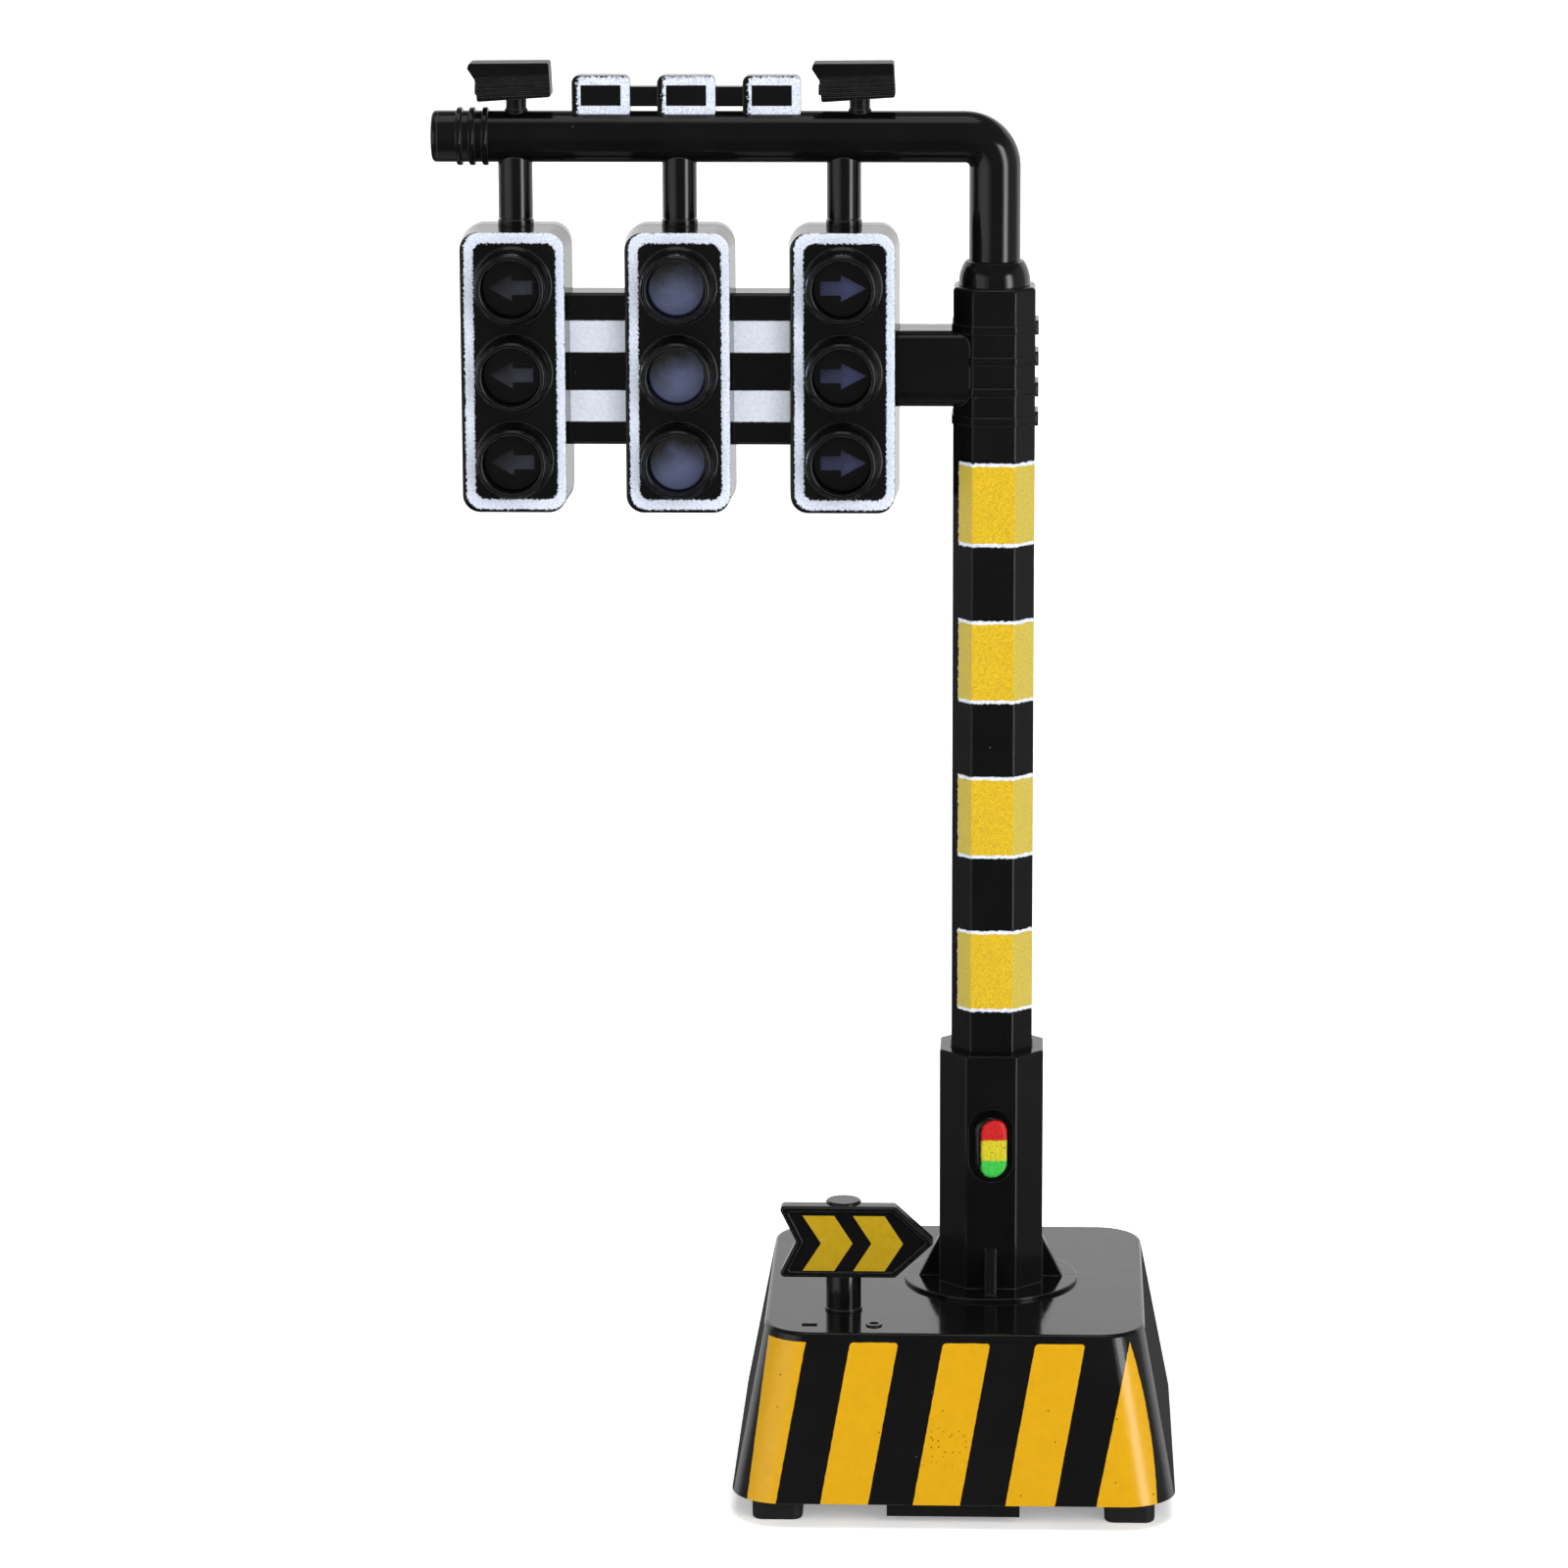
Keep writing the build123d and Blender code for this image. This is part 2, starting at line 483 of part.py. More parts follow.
def make_tube():
    """Elbow tube from the mast's top to the far left, with three grip rings near its end."""
    path = FilletPolyline((0, 0, MAST_Z1), (0, 0, TUBE_Z), (TUBE_END, 0, TUBE_Z), radius=ELBOW_R)
    start = Plane(origin=(0, 0, MAST_Z1), x_dir=(1, 0, 0), z_dir=(0, 0, 1))
    tube = sweep(start * Circle(TUBE_R), path)
    for x in RING_PLACES:
        ring = Pos(x, 0, TUBE_Z) * Rot(0, 90, 0) * Cylinder(TUBE_R + 0.6, 1.1)
        tube += fillet(ring.edges(), 0.3)
    tube -= sweep(start * Circle(TUBE_BORE), path)
    for x in HEAD_X.values():
        tube -= rod(1.5, TUBE_Z - 8, TUBE_Z, x)
    save("gantry_tube", MAST_AT * tube)
    lying = Pos(0, 0, TUBE_Z) * Rot(0, 90, 0)
    cap = Pos(TUBE_END - 0.6, 0, 0) * lying * Cylinder(TUBE_R, 1.2)
    cap = fillet(cap.edges().sort_by(Axis.X)[0], 0.8)
    cap += Pos(TUBE_END + 1.9, 0, 0) * lying * Cylinder(TUBE_BORE - 0.05, 4.0)
    save("tube_end_cap", MAST_AT * cap)


def make_hangers(tube_bar):
    for side, x in HEAD_X.items():
        foot_z = HEAD_Z + 25.8
        hanger = rod(HANGER_R, foot_z + 1.4, TUBE_Z) + rod(HANGER_R + 0.15, foot_z, foot_z + 1.1)
        hanger += rod(HANGER_R - 0.2, foot_z + 1, foot_z + 1.5)
        hanger += rod(2.6, foot_z - 4.4, foot_z + 0.1)
        hanger -= rod(1.5, foot_z - 10, TUBE_Z + 1)
        save(f"hanger_{side}", MAST_AT * (Pos(x, 0, 0) * hanger - tube_bar))


def make_boards(heads):
    """Two striped boards between the heads, each a front tray and a rear tray."""
    fronts, rears = [], []
    for x in ((HEAD_X["left"] + HEAD_X["middle"]) / 2, (HEAD_X["middle"] + HEAD_X["right"]) / 2):
        board = block(x - 6.5, x + 6.5, BOARD_FRONT, BOARD_BACK, BOARD_Z0, BOARD_Z1)
        board = chamfer(board.edges().filter_by(Axis.X), 0.45) - heads
        board -= block(x - 3, x + 3, BOARD_FRONT + 1.3, BOARD_BACK - 1.3, BOARD_Z0 + 1.3, BOARD_Z1 - 1.3)
        fronts.append(MAST_AT * (board & block(-200, 60, -60, 0, 0, 300)))
        rears.append(MAST_AT * (board & block(-200, 60, 0, 60, 0, 300)))
    save("cross_board_front", *fronts)
    save("cross_board_rear", *rears)


def make_flash_strip(tube_bar):
    """Three framed boxes on the tube, joined by thin bars."""
    strip = block(FLASH_X[0], FLASH_X[2], -1.5, 1.1, 255.7, 259.3)
    for x in FLASH_X:
        box = facing(x, FLASH_Y1, (FLASH_Z0 + FLASH_Z1) / 2)
        box *= RectangleRounded(FLASH_W, FLASH_Z1 - FLASH_Z0, 1.3)
        box = extrude(box, amount=FLASH_Y1 - FLASH_Y0)
        strip += fillet(box.faces().sort_by(Axis.Y)[0].edges(), 0.3)
    strip -= tube_bar
    windows = []
    for x in FLASH_X:
        back = FLASH_Y0 + 0.9
        strip -= block(x - 3.65, x + 3.65, FLASH_Y0 - 1, back, 255.85, 259.6)
        windows.append(MAST_AT * block(x - 3.6, x + 3.6, FLASH_Y0 + 0.12, back, 255.9, 259.55))
    save("flash_strip", MAST_AT * strip)
    save("flash_windows", *windows)


def make_cameras(tube_bar):
    """Box camera with a sloping hood and side grooves, looking left, on a short post."""
    outline = [(-8.3, 263.6), (-8.7, 262.7), (-7.3, 260.6), (-6.9, 256.6), (6.5, 257.5), (6.2, 263.7)]
    camera = cut_out(outline, -3.0, 3.0, rounding=0.45)
    for step in range(5):
        groove = Pos(0, 0, GROOVE_TOP - GROOVE_PITCH * step) * Rot(0, -2.2, 0) * Box(14, 0.6, 0.36)
        camera -= Pos(0, -3.0, 0) * groove
        camera -= Pos(0, 3.0, 0) * groove
    eye = Pos(-7.4, 0, 258.6) * Rot(0, 90, 0)
    camera -= eye * Cylinder(1.5, 1.6)
    camera += Pos(0.5, 0, 0) * eye * Cylinder(1.0, 1.2)
    camera += rod(1.87, TUBE_Z, 257.6) + rod(2.1, TUBE_Z, TUBE_Z + TUBE_R + 0.35)
    for side, x in CAMERA_X.items():
        save(f"camera_{side}", MAST_AT * (Pos(x, 0, 0) * camera - tube_bar))


def make_wires():
    """Wire bundle up the mast and along the tube, with a drop to each head."""
    foot = (WIRE_X, WIRE_Y, WIRE_LOW)
    route = FilletPolyline(
        foot, (WIRE_X, WIRE_Y, WIRE_TURN), (0, 0, WIRE_CENTRED), (0, 0, TUBE_Z),
        (HEAD_X["left"] - 0.5, 0, TUBE_Z), radius=ELBOW_R)
    start = Plane(origin=foot, x_dir=(1, 0, 0), z_dir=(0, 0, 1))
    bundle = sweep(start * Circle(BUNDLE_R), route)
    drops = [MAST_AT * rod(DROP_R, HEAD_Z + 20.5, TUBE_Z - BUNDLE_R, x) for x in HEAD_X.values()]
    save("wire_bundle", MAST_AT * bundle, *drops)


def main():
    make_base()
    make_sign()
    make_housing()
    make_button()
    head = make_heads()
    heads = [Pos(x, 0, 0) * head for x in HEAD_X.values()]
    make_mast(heads[-1])
    make_tube()
    tube_bar = Pos((TUBE_END - 5) / 2, 0, TUBE_Z) * Rot(0, 90, 0) * Cylinder(TUBE_R, 5 - TUBE_END)
    make_hangers(tube_bar)
    make_boards(heads[0] + heads[1] + heads[2])
    make_flash_strip(tube_bar)
    make_cameras(tube_bar)
    make_wires()


main()
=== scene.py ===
import math

import bmesh
import bpy
from mathutils import Matrix, Vector

# Toy traffic signal mast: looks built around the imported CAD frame.
# Metres, +Z up, front towards -Y.  Print layouts and textures are in millimetres, counted from
# BASE_MIDDLE, the middle of the battery box's underside.

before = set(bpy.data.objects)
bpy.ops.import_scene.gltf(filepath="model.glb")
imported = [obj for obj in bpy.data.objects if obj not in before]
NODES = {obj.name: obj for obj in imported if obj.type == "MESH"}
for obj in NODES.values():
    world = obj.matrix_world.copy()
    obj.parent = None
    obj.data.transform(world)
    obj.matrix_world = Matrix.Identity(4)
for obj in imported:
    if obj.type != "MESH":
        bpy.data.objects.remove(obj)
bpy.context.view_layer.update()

BASE_MIDDLE = Vector((0.02755, 0.0, 0.0015))
MM_PER_M = 1000.0

# ---------------------------------------------------------------- layout (millimetres)
# mast and heads
MAST_X, MAST_Y = 6.5, 1.0
MAST_PRINT_LEFT = MAST_X - 6.35
MAST_PRINT_BACK = MAST_Y - 3.2
MAST_PRINT_LOW, MAST_PRINT_HIGH = 85.0, 195.0
BAND_PITCH, BAND_LOWEST, BAND_HEIGHT = 29.3, 87.75, 15.5
BAND_BORDER = 0.6
SLANT_FROM = 3.95                       # half width of the mast's flat front
SIDES = ("left", "middle", "right")
HEAD_X = {"left": -81.0, "middle": -51.0, "right": -21.0}
HEAD_Z = 208.1
HEAD_PRINT_BACK = MAST_Y - 10.6
HEAD_SEAM_Y = MAST_Y - 0.3
BORDER_OUTER, BORDER_INNER = (18.3, 50.8), (15.1, 47.1)
BORDER_OUTER_R, BORDER_INNER_R = 3.0, 2.0
LENS_PITCH = 16.0

# stripes of the base's front
PRINT_TOP = 32.4
STRIPE_LEAN, STRIPE_FOOT = 0.184, 3.2   # sideways run per height, and where it starts
STRIPE_MIDDLE, STRIPE_LENGTH, STRIPE_R = 16.8, 31.2, 0.7
WHOLE_STRIPES = ((-24.4, -15.6), (-7.35, 1.3), (9.65, 18.75))
FIRST_LEFT, FIRST_LEAN, FIRST_RIGHT = -38.4, 0.13, -32.6
LAST_LEFT, LAST_LEFT_LEAN = 25.7, 0.205
LAST_RIGHT, LAST_RIGHT_LEAN = 38.9, 0.17
BULGE_MIDDLE, BULGE = 17.0, 0.0045
FRONT_PLANE, FRONT_LEAN = -35.2, 0.19
PIT_CLUSTER, PIT_CLUSTER_SIZE, PIT_CLUSTER_R = (-4.5, 14.5), (14.0, 4.0), 2.0

# cross boards, flash strip and button
BOARD_STRIPES = ((211.0, 216.8), (198.2, 203.95))
BOARD_PRINT_BACK = MAST_Y - 3.5
FLASH_X = (-64.05, -48.5, -32.95)
FLASH_Z = 257.5
FLASH_FRAME, FLASH_FRAME_R = (10.6, 7.2), 1.0
STRIP_PRINT_BACK = MAST_Y - 1.75
PILL_AT, PILL_SIZE, PILL_R = (MAST_X + 0.75, 62.15), (4.9, 11.3), 2.4
PILL_PRINT_BACK = MAST_Y - 10.2
RED_FROM, GREEN_TO = 64.0, 60.1


# ---------------------------------------------------------------- node building
class Nodes:
    """Small helper that adds shader nodes to one material and links them."""

    def __init__(self, name):
        self.material = bpy.data.materials.new(name)
        self.material.use_nodes = True
        self.tree = self.material.node_tree
        self.tree.nodes.clear()
        self.output = self.add("ShaderNodeOutputMaterial")
        coordinates = self.add("ShaderNodeTexCoord")
        scaled = self.add("ShaderNodeVectorMath", operation="MULTIPLY_ADD")
        self.link(coordinates.outputs["Object"], scaled.inputs[0])
        scaled.inputs[1].default_value = (MM_PER_M, MM_PER_M, MM_PER_M)
        scaled.inputs[2].default_value = BASE_MIDDLE * -MM_PER_M
        self.mm = scaled.outputs[0]
        split = self.add("ShaderNodeSeparateXYZ")
        self.link(self.mm, split.inputs[0])
        self.x, self.y, self.z = split.outputs

    def add(self, kind, **settings):
        node = self.tree.nodes.new(kind)
        for key, value in settings.items():
            setattr(node, key, value)
        return node

    def link(self, source, socket):
        self.tree.links.new(source, socket)

    def put(self, value, socket):
        """Link an output, or set a plain number or colour."""
        if isinstance(value, bpy.types.NodeSocket):
            self.link(value, socket)
        else:
            socket.default_value = value

    def math(self, operation, a, b=0.0, c=0.0):
        node = self.add("ShaderNodeMath", operation=operation)
        for value, socket in zip((a, b, c), node.inputs):
            self.put(value, socket)
        return node.outputs[0]

    def noise(self, scale, detail=2.0, roughness=0.5, colour=False):
        """Noise with a scale in cycles per millimetre."""
        node = self.add("ShaderNodeTexNoise")
        node.inputs["Scale"].default_value = scale
        node.inputs["Detail"].default_value = detail
        node.inputs["Roughness"].default_value = roughness
        self.link(self.mm, node.inputs["Vector"])
        return node.outputs["Color" if colour else "Fac"]

    def remap(self, value, low, high, to_low=0.0, to_high=1.0):
        """Straight line from (low, to_low) to (high, to_high), held at its ends."""
        node = self.add("ShaderNodeMapRange", clamp=True)
        self.put(value, node.inputs["Value"])
        node.inputs["From Min"].default_value = low
        node.inputs["From Max"].default_value = high
        node.inputs["To Min"].default_value = to_low
        node.inputs["To Max"].default_value = to_high
        return node.outputs["Result"]

    def mix(self, factor, a, b):
        node = self.add("ShaderNodeMix", data_type="RGBA")
        self.put(factor, node.inputs[0])
        self.put(a, node.inputs[6])
        self.put(b, node.inputs[7])
        return node.outputs[2]

    def multiply(self, factor, a, b):
        """Darken or tint colour a by colour b."""
        node = self.add("ShaderNodeMix", data_type="RGBA", blend_type="MULTIPLY")
        self.put(factor, node.inputs[0])
        self.put(a, node.inputs[6])
        self.put(b, node.inputs[7])
        return node.outputs[2]

    def blend_values(self, factor, a, b):
        node = self.add("ShaderNodeMix", data_type="FLOAT")
        self.put(factor, node.inputs[0])
        self.put(a, node.inputs[2])
        self.put(b, node.inputs[3])
        return node.outputs[0]

    def ragged(self, size, amount):
        """Millimetre x, y and z shaken by noise, for the rough edge of a print."""
        noise = self.noise(size, 3.0, 0.6, colour=True)
        centred = self.add("ShaderNodeVectorMath", operation="SUBTRACT")
        self.link(noise, centred.inputs[0])
        centred.inputs[1].default_value = (0.5, 0.5, 0.5)
        moved = self.add("ShaderNodeVectorMath", operation="MULTIPLY_ADD")
        self.link(centred.outputs[0], moved.inputs[0])
        moved.inputs[1].default_value = (amount, amount, amount)
        self.link(self.mm, moved.inputs[2])
        split = self.add("ShaderNodeSeparateXYZ")
        self.link(moved.outputs[0], split.inputs[0])
        return split.outputs

    def rounded_box(self, u, v, middle, size, radius):
        """Signed distance from a rounded rectangle; negative inside."""
        du = self.math("ABSOLUTE", self.math("SUBTRACT", u, middle[0]))
        dv = self.math("ABSOLUTE", self.math("SUBTRACT", v, middle[1]))
        qu = self.math("SUBTRACT", du, size[0] / 2 - radius)
        qv = self.math("SUBTRACT", dv, size[1] / 2 - radius)
        out_u = self.math("MAXIMUM", qu, 0.0)
        out_v = self.math("MAXIMUM", qv, 0.0)
        squares = self.math("MULTIPLY_ADD", out_u, out_u, self.math("MULTIPLY", out_v, out_v))
        outside = self.math("SQRT", squares)
        inside = self.math("MINIMUM", self.math("MAXIMUM", qu, qv), 0.0)
        return self.math("SUBTRACT", self.math("ADD", outside, inside), radius)

    def solid_where(self, distance, soft=0.06):
        """1 where the distance is negative, 0 outside."""
        return self.remap(distance, -soft, soft, 1.0, 0.0)

    def dots(self, density, radius, empty, flat=False):
        """Round specks: density in cells per millimetre, empty the share of cells without one.

        Flat specks run straight through from front to back.
        """
        cells = self.add("ShaderNodeTexVoronoi", voronoi_dimensions="2D" if flat else "3D")
        cells.inputs["Scale"].default_value = density
        if flat:
            front = self.add("ShaderNodeCombineXYZ")
            self.link(self.x, front.inputs[0])
            self.link(self.z, front.inputs[1])
            self.link(front.outputs[0], cells.inputs["Vector"])
        else:
            self.link(self.mm, cells.inputs["Vector"])
        reach = radius * density
        near = self.remap(cells.outputs["Distance"], reach * 0.6, reach, 1.0, 0.0)
        split = self.add("ShaderNodeSeparateColor")
        self.link(cells.outputs["Color"], split.inputs[0])
        return self.math("MULTIPLY", near, self.remap(split.outputs[0], empty, empty + 0.02))

    def both(self, *masks):
        """Where all the masks are 1."""
        result = masks[0]
        for mask in masks[1:]:
            result = self.math("MULTIPLY", result, mask)
        return result

    def either(self, *masks):
        """Where any of the masks is 1."""
        result = masks[0]
        for mask in masks[1:]:
            result = self.math("MAXIMUM", result, mask)
        return result

    def invert(self, mask):
        return self.math("SUBTRACT", 1.0, mask)

    def beyond(self, limit, value, soft=0.06):
        """1 where the value is past the limit on the plus side."""
        return self.solid_where(self.math("SUBTRACT", limit, value), soft)

    def short_of(self, limit, value, soft=0.06):
        """1 where the value is past the limit on the minus side."""
        return self.solid_where(self.math("SUBTRACT", value, limit), soft)

    def edge_normal(self, radius):
        """Surface normal with edges rounded to a radius in millimetres."""
        node = self.add("ShaderNodeBevel", samples=4)
        node.inputs["Radius"].default_value = radius / MM_PER_M
        return node.outputs[0]

    def sharp_edges(self, radius):
        """1 along sharp edges, fading out over the radius in millimetres."""
        geometry = self.add("ShaderNodeNewGeometry")
        dot = self.add("ShaderNodeVectorMath", operation="DOT_PRODUCT")
        self.link(self.edge_normal(radius), dot.inputs[0])
        self.link(geometry.outputs["Normal"], dot.inputs[1])
        return self.remap(dot.outputs["Value"], 0.86, 0.98, 1.0, 0.0)

    def bump(self, height, strength, distance, normal=None):
        """Bump of a height map; distance in millimetres."""
        node = self.add("ShaderNodeBump")
        node.inputs["Strength"].default_value = strength
        node.inputs["Distance"].default_value = distance / MM_PER_M
        self.link(height, node.inputs["Height"])
        if normal is not None:
            self.link(normal, node.inputs["Normal"])
        return node.outputs[0]

    def shade(self, colour, roughness, normal=None, **sockets):
        """Finish the material; further sockets are named with _ for a space."""
        shader = self.add("ShaderNodeBsdfPrincipled")
        self.put(colour, shader.inputs["Base Color"])
        self.put(roughness, shader.inputs["Roughness"])
        if normal is not None:
            self.link(normal, shader.inputs["Normal"])
        for key, value in sockets.items():
            self.put(value, shader.inputs[key.replace("_", " ")])
        self.link(shader.outputs[0], self.output.inputs["Surface"])
        return self.material


# ---------------------------------------------------------------- colours
def colour(red, green, blue):
    """Linear colour from screen values of 0 to 255."""
    values = []
    for value in (red, green, blue):
        part = value / 255
        values.append(part / 12.92 if part <= 0.04045 else ((part + 0.055) / 1.055) ** 2.4)
    return (*values, 1.0)


BLACK = (0.002, 0.002, 0.0021, 1.0)
BLACK_WORN = (0.0035, 0.0035, 0.0037, 1.0)
# painted highlight: grey laid along the sharp edges of the black plastic
EDGE_HIGHLIGHT_GREY = (0.075, 0.075, 0.082, 1.0)
PRINT_WHITE = colour(210, 217, 232)
BASE_YELLOW = colour(196, 147, 0)
MAST_YELLOW = colour(205, 169, 0)
# painted light: the boards' white is a lighter copy of the print white, making up for the heads'
# shade on the boards
BOARD_WHITE_LIT = colour(233, 240, 255)
SIGN_YELLOW = colour(170, 138, 0)
BUTTON_RED = colour(208, 0, 0)
BUTTON_YELLOW = colour(218, 205, 4)
BUTTON_GREEN = colour(58, 206, 72)
DUST = (0.16, 0.16, 0.16, 1.0)
# painted reflection: tint for the mast's yellow on its slanted faces
SLANT_SHEEN_TINT = (0.84, 0.97, 1.0, 1.0)


# ---------------------------------------------------------------- materials
FULL_SPECULAR = 0.5


def black_body(n, edge=0.16):
    """Colour, roughness and surface normal of gloss black moulded plastic; edge in mm."""
    cloud = n.noise(0.08, 3.0)
    tone = n.mix(n.remap(cloud, 0.35, 0.7), BLACK, BLACK_WORN)
    fine = n.noise(0.9, 3.0, 0.6)
    roughness = n.remap(fine, 0.3, 0.75, 0.09, 0.15)
    # slow waviness of the moulded wall
    wave = n.noise(0.16, 1.0)
    normal = n.bump(wave, 0.12, 0.25, n.edge_normal(edge))
    # dust specks, and a painted highlight: sharp edges lightened grey
    dust = n.dots(0.3, 0.13, 0.72)
    tone = n.mix(n.math("MULTIPLY", dust, 0.55), tone, DUST)
    edge_highlight = n.math("MULTIPLY", n.sharp_edges(0.22), n.remap(fine, 0.3, 0.6, 0.3, 0.8))
    tone = n.mix(edge_highlight, tone, EDGE_HIGHLIGHT_GREY)
    roughness = n.blend_values(dust, roughness, 0.6)
    return tone, roughness, normal


def black_plastic(name, edge=0.16, duller=0.0):
    """Plain gloss black; duller adds roughness and takes off as much reflection."""
    n = Nodes(name)
    tone, roughness, normal = black_body(n, edge)
    return n.shade(
        tone, n.math("ADD", roughness, duller), normal, IOR=1.5,
        Specular_IOR_Level=FULL_SPECULAR - duller)


def printed(n, body, mask, ink, roughness, grain_scale, grain, step):
    """Lay ink over a body's (tone, roughness, normal), with grain and a step in mm at its edge."""
    tone, body_roughness, normal = body
    speckle = n.noise(grain_scale, 4.0, 0.75)
    darker = tuple(part * (1 - grain * 2.2) for part in ink[:3]) + (1.0,)
    lighter = tuple(min(1.0, part * (1 + grain)) for part in ink[:3]) + (1.0,)
    inked = n.mix(n.remap(speckle, 0.38, 0.62), darker, lighter)
    tone = n.mix(mask, tone, inked)
    blended = n.blend_values(mask, body_roughness, roughness)
    height = n.math("MULTIPLY", mask, n.math("ADD", n.math("MULTIPLY", speckle, 0.35), 0.65))
    normal = n.bump(height, 0.35, step, normal)
    return tone, blended, normal


def ink_that_took(n, scale, low, high):
    """1 where the ink stayed on, 0 in the specks it missed."""
    return n.remap(n.noise(scale, 3.0, 0.7), low, high, 0.0, 1.0)


def base_material():
    """Black shell with diagonal yellow stripes on its front face and front corners."""
    n = Nodes("base_stripes")
    body = black_body(n)
    x, y, z = n.ragged(0.8, 0.25)
    below_top = n.short_of(PRINT_TOP, z)
    leaning = n.math("MULTIPLY", n.math("SUBTRACT", z, STRIPE_FOOT), STRIPE_LEAN)
    along = n.math("SUBTRACT", x, leaning)
    stripes = []
    for low, high in WHOLE_STRIPES:
        middle = ((low + high) / 2, STRIPE_MIDDLE)
        distance = n.rounded_box(along, z, middle, (high - low, STRIPE_LENGTH), STRIPE_R)
        stripes.append(n.solid_where(distance))
    # the first stripe runs off over the left corner
    first = n.both(
        n.beyond(FIRST_LEFT, n.math("MULTIPLY_ADD", z, -FIRST_LEAN, x)),
        n.short_of(FIRST_RIGHT, along), below_top)
    # the last stripe bulges a little on its right side
    rise = n.math("SUBTRACT", z, BULGE_MIDDLE)
    bulge = n.math("MULTIPLY", n.math("MULTIPLY", rise, rise), BULGE)
    right_side = n.math("ADD", n.math("MULTIPLY_ADD", z, LAST_RIGHT_LEAN, x), bulge)
    last = n.both(
        n.beyond(LAST_LEFT, n.math("MULTIPLY_ADD", z, -LAST_LEFT_LEAN, x)),
        n.short_of(LAST_RIGHT, right_side), below_top)
    # only the outer front of the shell is printed
    front = n.short_of(FRONT_PLANE, n.math("MULTIPLY_ADD", z, -FRONT_LEAN, y))
    mask = n.both(n.either(first, last, *stripes), front)
    # pinholes: a few everywhere and a cluster low in the middle
    cluster_edge = n.rounded_box(x, z, PIT_CLUSTER, PIT_CLUSTER_SIZE, PIT_CLUSTER_R)
    cluster = n.remap(cluster_edge, -1.0, 4.0, 1.0, 0.0)
    pits = n.math("MULTIPLY", n.dots(0.8, 0.17, 0.55, True), cluster)
    mask = n.both(mask, n.invert(pits), n.invert(n.dots(0.16, 0.17, 0.65, True)))
    tone, roughness, normal = printed(
        n, body, mask, BASE_YELLOW, roughness=0.22, grain_scale=0.5, grain=0.02, step=0.04)
    return n.shade(tone, roughness, normal, IOR=1.5)


def mast_material():
    """Black mast with four yellow bands edged in white."""
    n = Nodes("mast_bands")
    body = black_body(n, 0.5)
    x, y, z = n.ragged(1.3, 0.8)
    from_middle = n.math(
        "PINGPONG", n.math("SUBTRACT", z, BAND_LOWEST + BAND_HEIGHT / 2), BAND_PITCH / 2)
    in_band = n.short_of(BAND_HEIGHT / 2, from_middle, 0.1)
    in_yellow = n.short_of(BAND_HEIGHT / 2 - BAND_BORDER, from_middle, 0.1)
    in_range = n.both(n.short_of(MAST_PRINT_HIGH, z), n.beyond(MAST_PRINT_LOW, z))
    right = n.beyond(MAST_PRINT_LEFT, x, 0.12)
    front = n.short_of(MAST_PRINT_BACK, y, 0.1)
    wide = n.both(in_range, right, front)
    white_mask = n.both(in_band, wide, ink_that_took(n, 2.2, 0.24, 0.30))
    yellow_mask = n.both(in_yellow, wide)
    body = printed(
        n, body, white_mask, PRINT_WHITE, roughness=0.4, grain_scale=1.8, grain=0.1, step=0.03)
    tone, roughness, normal = printed(
        n, body, yellow_mask, MAST_YELLOW, roughness=0.34, grain_scale=3.6, grain=0.13, step=0.06)
    # painted reflection: the yellow on the slanted faces is tinted and mixed a little towards
    # white
    off_middle = n.math("ABSOLUTE", n.math("SUBTRACT", n.x, MAST_X))
    slanted = n.both(yellow_mask, n.beyond(SLANT_FROM, off_middle))
    tone = n.multiply(slanted, tone, SLANT_SHEEN_TINT)
    tone = n.mix(n.math("MULTIPLY", slanted, 0.06), tone, PRINT_WHITE)
    return n.shade(tone, roughness, normal, IOR=1.5)


def head_material(side):
    """Head front with a white border printed round a black panel."""
    n = Nodes(f"head_border_{side}")
    body = black_body(n, 0.3)
    x, _, z = n.ragged(2.2, 1.2)
    outer_at = (HEAD_X[side] + 0.42, HEAD_Z + 0.35)
    inner_at = (HEAD_X[side] + 0.45, HEAD_Z + 0.3)
    outer = n.solid_where(n.rounded_box(x, z, outer_at, BORDER_OUTER, BORDER_OUTER_R), 0.1)
    inner = n.solid_where(n.rounded_box(x, z, inner_at, BORDER_INNER, BORDER_INNER_R), 0.12)
    border = n.both(outer, n.invert(inner))
    face = n.short_of(HEAD_PRINT_BACK, n.y, 0.12)
    mask = n.both(border, face, ink_that_took(n, 3.2, 0.30, 0.40))
    tone, roughness, normal = printed(
        n, body, mask, PRINT_WHITE, roughness=0.38, grain_scale=2.4, grain=0.1, step=0.05)
    # dark gap where the front shell meets the rear one
    seam = n.beyond(HEAD_SEAM_Y, n.y, 0.05)
    shine = n.math("MULTIPLY", n.invert(seam), FULL_SPECULAR)
    return n.shade(tone, roughness, normal, IOR=1.5, Specular_IOR_Level=shine)


def board_material():
    """Cross boards with white stripes on the front."""
    n = Nodes("board_stripes")
    body = black_body(n)
    _, _, z = n.ragged(1.4, 0.22)
    stripes = []
    for low, high in BOARD_STRIPES:
        distance = n.math("ABSOLUTE", n.math("SUBTRACT", z, (low + high) / 2))
        stripes.append(n.short_of((high - low) / 2, distance, 0.12))
    face = n.short_of(BOARD_PRINT_BACK, n.y, 0.1)
    mask = n.both(n.either(*stripes), face, ink_that_took(n, 3.0, 0.24, 0.3))
    # the stripes use the lightened white, painted light against the heads' shade
    tone, roughness, normal = printed(
        n, body, mask, BOARD_WHITE_LIT, roughness=0.38, grain_scale=2.2, grain=0.05, step=0.04)
    return n.shade(tone, roughness, normal, IOR=1.5)


